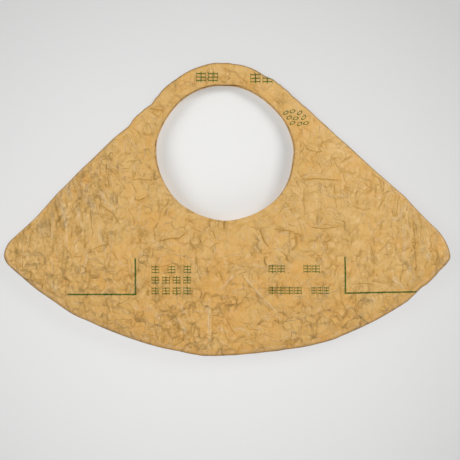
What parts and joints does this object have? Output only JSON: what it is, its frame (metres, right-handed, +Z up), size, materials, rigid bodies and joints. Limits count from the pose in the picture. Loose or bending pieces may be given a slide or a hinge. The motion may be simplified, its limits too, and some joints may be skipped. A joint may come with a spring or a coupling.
{
  "type": "triangle bag",
  "caption": "Fan-shaped paper bag with a round handle hole cut in its upper corner, hanging flat with its mouth nearly closed.",
  "frame": {"origin": "the top of the handle hole's edge, midway between the two panels, where the bag hangs", "axes": "+Z up, +X to the right seen from the front, the front faces -Y"},
  "size_m": [0.5562, 0.0448, 0.3667],
  "materials": {
    "kraft_front": "matt, crumpled",
    "kraft_back": "matt, crumpled"
  },
  "bodies": {
    "root": {"front_panel": "kraft_front", "back_panel": "kraft_back"}
  },
  "joints": []
}
